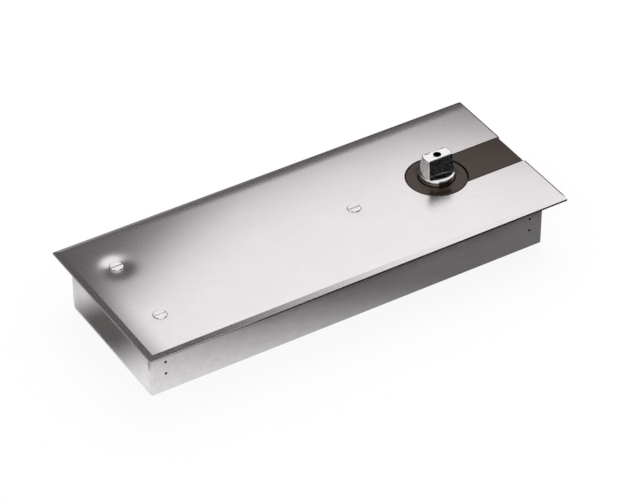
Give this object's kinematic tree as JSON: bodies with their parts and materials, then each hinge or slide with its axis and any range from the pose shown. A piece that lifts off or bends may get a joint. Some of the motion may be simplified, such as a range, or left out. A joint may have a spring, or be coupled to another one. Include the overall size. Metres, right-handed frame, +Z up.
{
  "type": "floor spring door closer",
  "caption": "Low-profile floor spring: a cam-action hydraulic closer in a sheet-metal floor box under a steel cover plate, with a tapered door spindle.",
  "frame": {"origin": "under the middle of the cover plate, on the underside of the cement box", "axes": "+X along the box towards the spindle end, +Z up along the spindle, +Y to the side of the valve block"},
  "size_m": [0.325, 0.132, 0.0622],
  "materials": {
    "stainless_plate": "fine brushed stainless sheet, satin",
    "stainless_screws": "polished stainless screw heads",
    "galvanised_sheet": "zinc coated sheet, faintly mottled",
    "dark_trim": "dark brown-black satin plastic",
    "spindle_steel": "nickel plated forged steel with milled flats",
    "cast_housing": "grey painted casting",
    "cast_lid": "grey painted casting with machined top",
    "zinc_steel": "zinc plated steel",
    "black_steel": "black oxide steel",
    "ground_steel": "hardened and ground steel",
    "turned_steel": "turned steel, oiled",
    "bearing_bronze": "sintered bronze",
    "valve_brass": "turned brass",
    "seal_rubber": "black nitrile rubber",
    "gasket_fibre": "green-black fibre gasket",
    "spring_steel": "oil-tempered spring wire"
  },
  "bodies": {
    "housing": {"cement_box": "galvanised_sheet", "floor_bosses": "zinc_steel", "cover_pillars": "zinc_steel", "closer_body": "cast_housing", "mounting_screws": "black_steel", "mounting_washers": "zinc_steel", "lid_gasket": "gasket_fibre", "body_lid": "cast_lid", "lid_screws": "black_steel", "filler_plug": "black_steel", "gallery_plug": "black_steel", "lower_bush": "bearing_bronze", "thrust_disc": "ground_steel", "upper_bush": "bearing_bronze", "spindle_seal": "seal_rubber", "rod_bush": "bearing_bronze", "end_plug": "turned_steel", "end_plug_seal": "seal_rubber", "cover_plate": "stainless_plate", "cover_screws": "stainless_screws", "slot_insert": "dark_trim", "rosette": "dark_trim", "closing_spring": "spring_steel"},
    "spindle": {"spindle": "spindle_steel", "cam_disc": "ground_steel", "cam_key": "black_steel", "cam_spacer": "ground_steel"},
    "carriage": {"carriage_plates": "turned_steel", "crosshead": "turned_steel", "crosshead_rivets": "zinc_steel", "roller_pin": "ground_steel", "pull_rod": "ground_steel", "piston": "turned_steel", "piston_seal": "seal_rubber", "rod_nut": "zinc_steel", "check_retainer": "bearing_bronze"},
    "roller": {"cam_roller": "ground_steel"},
    "check_ball": {"check_ball": "ground_steel"},
    "closing_valve": {"closing_valve": "valve_brass", "closing_valve_seal": "seal_rubber"},
    "latching_valve": {"latching_valve": "valve_brass", "latching_valve_seal": "seal_rubber"}
  },
  "joints": [
    {"name": "spindle_turn", "type": "hinge", "parent": "housing", "child": "spindle", "pos_m": [0.0995, 0, 0], "axis": [0, 0, 1], "range_deg": [0, 130], "stiffness_Nm_per_rad": 1, "springref_deg": -28.65},
    {"name": "carriage_slide", "type": "slide", "parent": "housing", "child": "carriage", "axis": [1, 0, 0], "range_m": [0, 0.01205], "deforming": ["closing_spring"]},
    {"name": "roller_spin", "type": "hinge", "parent": "carriage", "child": "roller", "pos_m": [0.1185, 0, 0], "axis": [0, 0, 1], "continuous": true},
    {"name": "check_ball_lift", "type": "slide", "parent": "carriage", "child": "check_ball", "axis": [-1, 0, 0], "range_m": [0, 0.0005]},
    {"name": "closing_valve_turn", "type": "hinge", "parent": "housing", "child": "closing_valve", "pos_m": [-0.096, 0.021, 0], "axis": [0, 0, 1], "range_deg": [-360, 360]},
    {"name": "latching_valve_turn", "type": "hinge", "parent": "housing", "child": "latching_valve", "pos_m": [-0.1065, 0.021, 0], "axis": [0, 0, 1], "range_deg": [-360, 360]}
  ],
  "couplings": [
    {"joint": "carriage_slide", "follows": "spindle_turn", "m_per_rad": 0.0052888}
  ]
}
